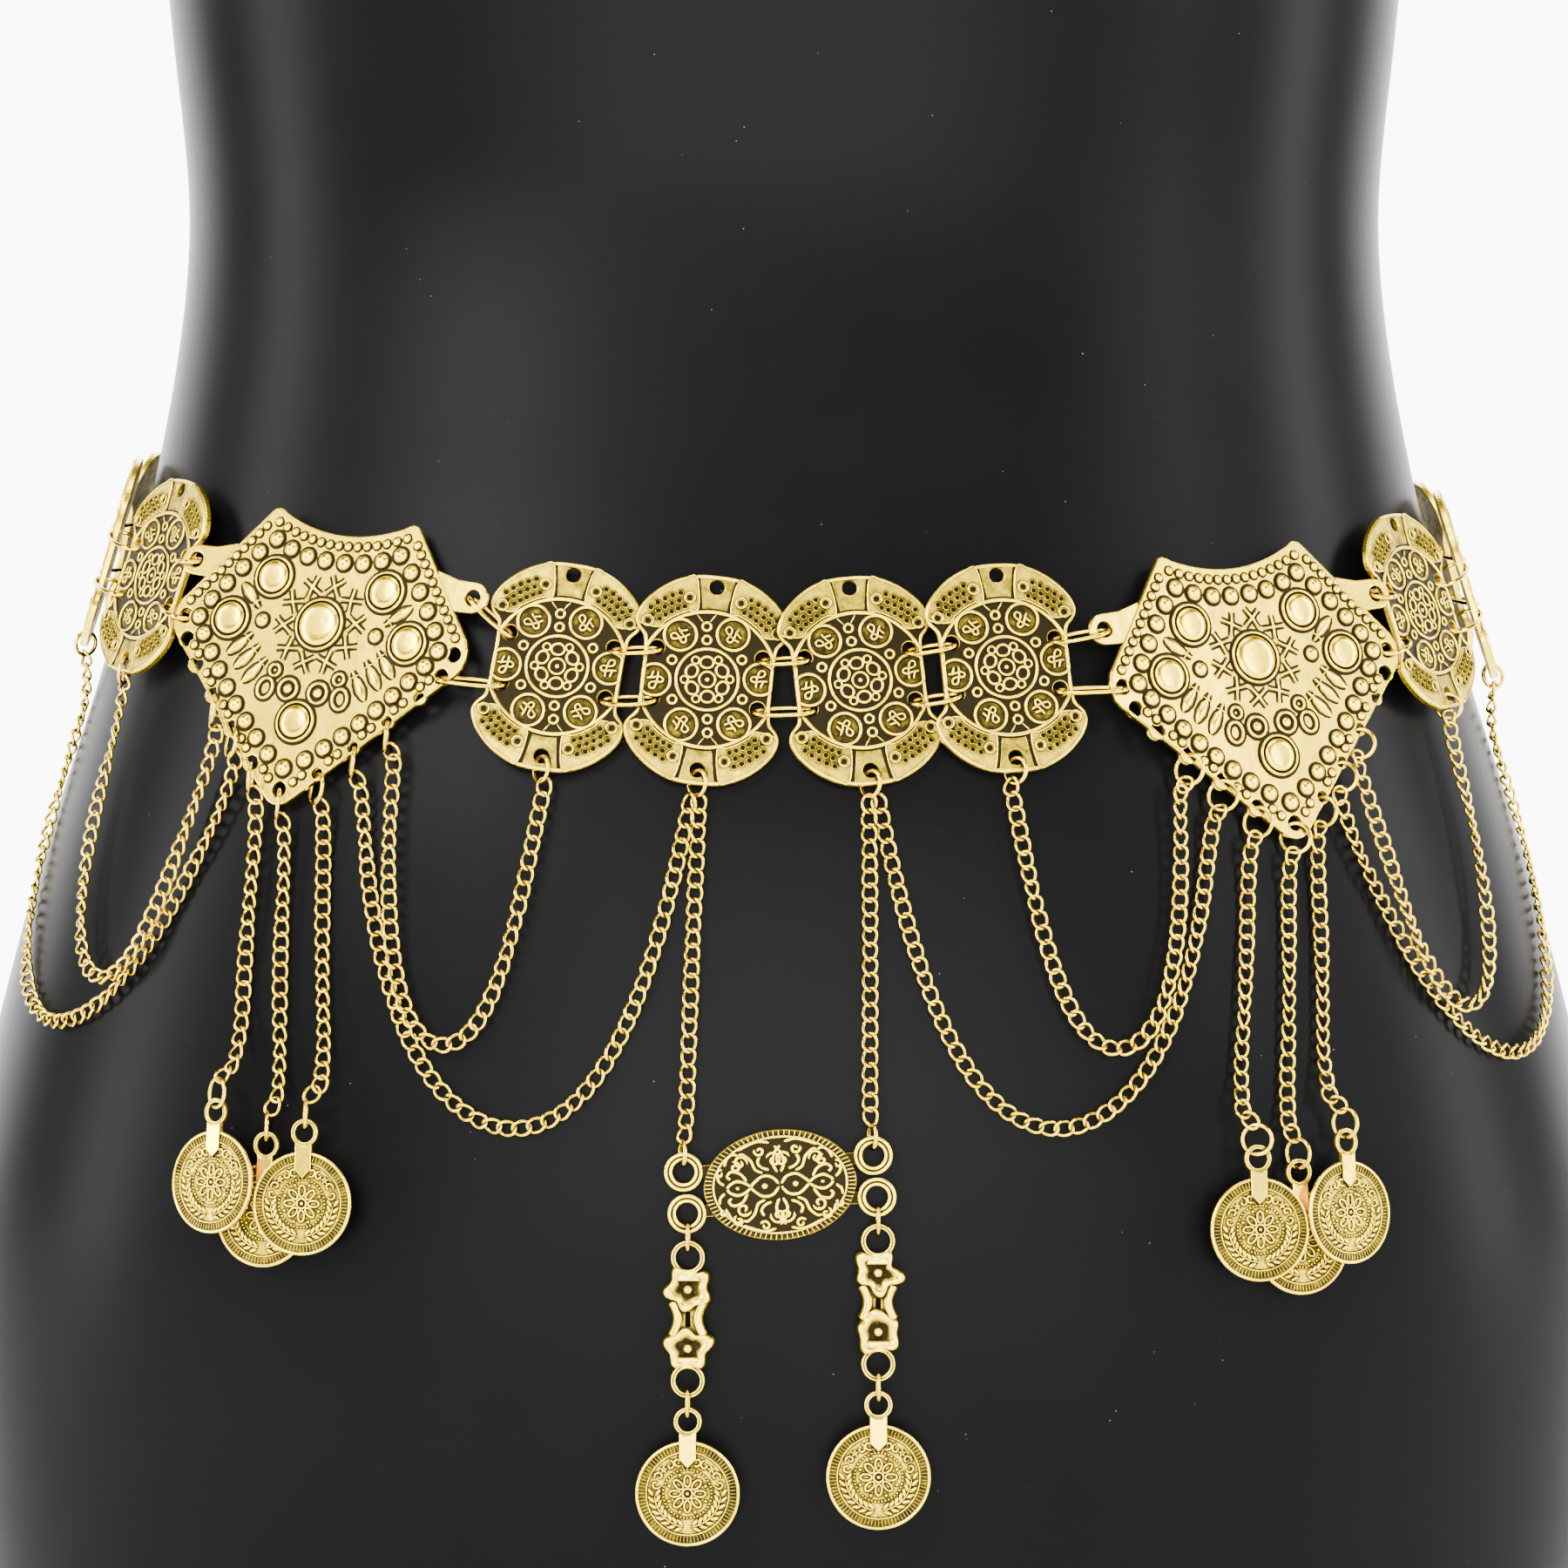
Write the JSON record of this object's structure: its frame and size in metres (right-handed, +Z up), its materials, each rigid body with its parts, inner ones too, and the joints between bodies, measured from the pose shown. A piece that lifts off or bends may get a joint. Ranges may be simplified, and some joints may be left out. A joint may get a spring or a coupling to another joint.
{
  "type": "waist chain on a limbless hip display form",
  "caption": "Antique gold waist chain of linked cast plates, draped chains, coins and an oval pendant, worn on a plain black hip display form.",
  "frame": {"origin": "middle of the box round the whole part, on the flat base of the form", "axes": "+Z up, the front with the pendant faces -Y, +X to the right as seen from the front"},
  "size_m": [0.3528, 0.229, 0.38],
  "materials": {
    "bright_gold_cast": "bright gold plating over a cast relief, dark patina in the recesses",
    "antique_gold_cast": "antique gold plating, heavy dark patina in the recesses",
    "gold_wire": "gold plated wire, bright",
    "black_form": "black satin gloss with fine specks"
  },
  "bodies": {
    "root": {"hip_form": "black_form", "plate_left_3": "antique_gold_cast", "plate_left_2": "antique_gold_cast", "plate_left_1": "antique_gold_cast", "shield_left": "bright_gold_cast", "plate_front_1": "antique_gold_cast", "plate_front_2": "antique_gold_cast", "plate_front_3": "antique_gold_cast", "plate_front_4": "antique_gold_cast", "shield_right": "bright_gold_cast", "plate_right_1": "antique_gold_cast", "plate_right_2": "antique_gold_cast", "plate_right_3": "antique_gold_cast", "swag_front_left_outer": "gold_wire", "swag_front_left_inner": "gold_wire", "swag_front_right_outer": "gold_wire", "swag_front_right_inner": "gold_wire", "swag_side_left_outer": "gold_wire", "swag_side_left_inner": "gold_wire", "swag_side_right_outer": "gold_wire", "swag_side_right_inner": "gold_wire", "coin_chain_left_1": "gold_wire", "coin_left_2": "bright_gold_cast", "coin_chain_left_2": "gold_wire", "coin_chain_left_3": "gold_wire", "coin_chain_right_1": "gold_wire", "coin_right_2": "bright_gold_cast", "coin_chain_right_2": "gold_wire", "coin_chain_right_3": "gold_wire", "pendant_chain_left": "gold_wire", "pendant_chain_right": "gold_wire", "pendant_oval": "bright_gold_cast", "back_chain_left": "gold_wire", "back_chain_right": "gold_wire", "clasp": "bright_gold_cast"},
    "coin_left_1": {"coin_left_1": "bright_gold_cast"},
    "coin_left_3": {"coin_left_3": "bright_gold_cast"},
    "coin_right_1": {"coin_right_1": "bright_gold_cast"},
    "coin_right_3": {"coin_right_3": "bright_gold_cast"},
    "drop_left": {"drop_left": "antique_gold_cast"},
    "drop_right": {"drop_right": "antique_gold_cast"},
    "coin_drop_left": {"coin_drop_left": "bright_gold_cast"},
    "coin_drop_right": {"coin_drop_right": "bright_gold_cast"}
  },
  "joints": [
    {"name": "coin_left_1_swing", "type": "hinge", "parent": "root", "child": "coin_left_1", "pos_m": [-0.10898, -0.09454, 0.12286], "axis": [-0.8491, 0.5279, -0.0195], "range_deg": [0, 32]},
    {"name": "coin_left_3_swing", "type": "hinge", "parent": "root", "child": "coin_left_3", "pos_m": [-0.09116, -0.10102, 0.11946], "axis": [-0.9779, 0.2088, 0.0065], "range_deg": [0, 32]},
    {"name": "coin_right_1_swing", "type": "hinge", "parent": "root", "child": "coin_right_1", "pos_m": [0.08999, -0.10181, 0.11461], "axis": [-0.9799, -0.1995, -0.0057], "range_deg": [0, 32]},
    {"name": "coin_right_3_swing", "type": "hinge", "parent": "root", "child": "coin_right_3", "pos_m": [0.10767, -0.09572, 0.1172], "axis": [-0.8565, -0.5158, 0.0175], "range_deg": [0, 32]},
    {"name": "drop_left_swing", "type": "hinge", "parent": "root", "child": "drop_left", "pos_m": [-0.01803, -0.11034, 0.09732], "axis": [-0.9996, 0.0265, 0], "range_deg": [0, 28]},
    {"name": "coin_drop_left_swing", "type": "hinge", "parent": "drop_left", "child": "coin_drop_left", "pos_m": [-0.01806, -0.11143, 0.0663], "axis": [-0.9996, 0.0265, 0], "range_deg": [0, 32]},
    {"name": "drop_right_swing", "type": "hinge", "parent": "root", "child": "drop_right", "pos_m": [0.01764, -0.11023, 0.10044], "axis": [-0.9997, -0.0259, 0], "range_deg": [0, 28]},
    {"name": "coin_drop_right_swing", "type": "hinge", "parent": "drop_right", "child": "coin_drop_right", "pos_m": [0.01768, -0.11156, 0.06942], "axis": [-0.9997, -0.0259, 0], "range_deg": [0, 32]}
  ]
}
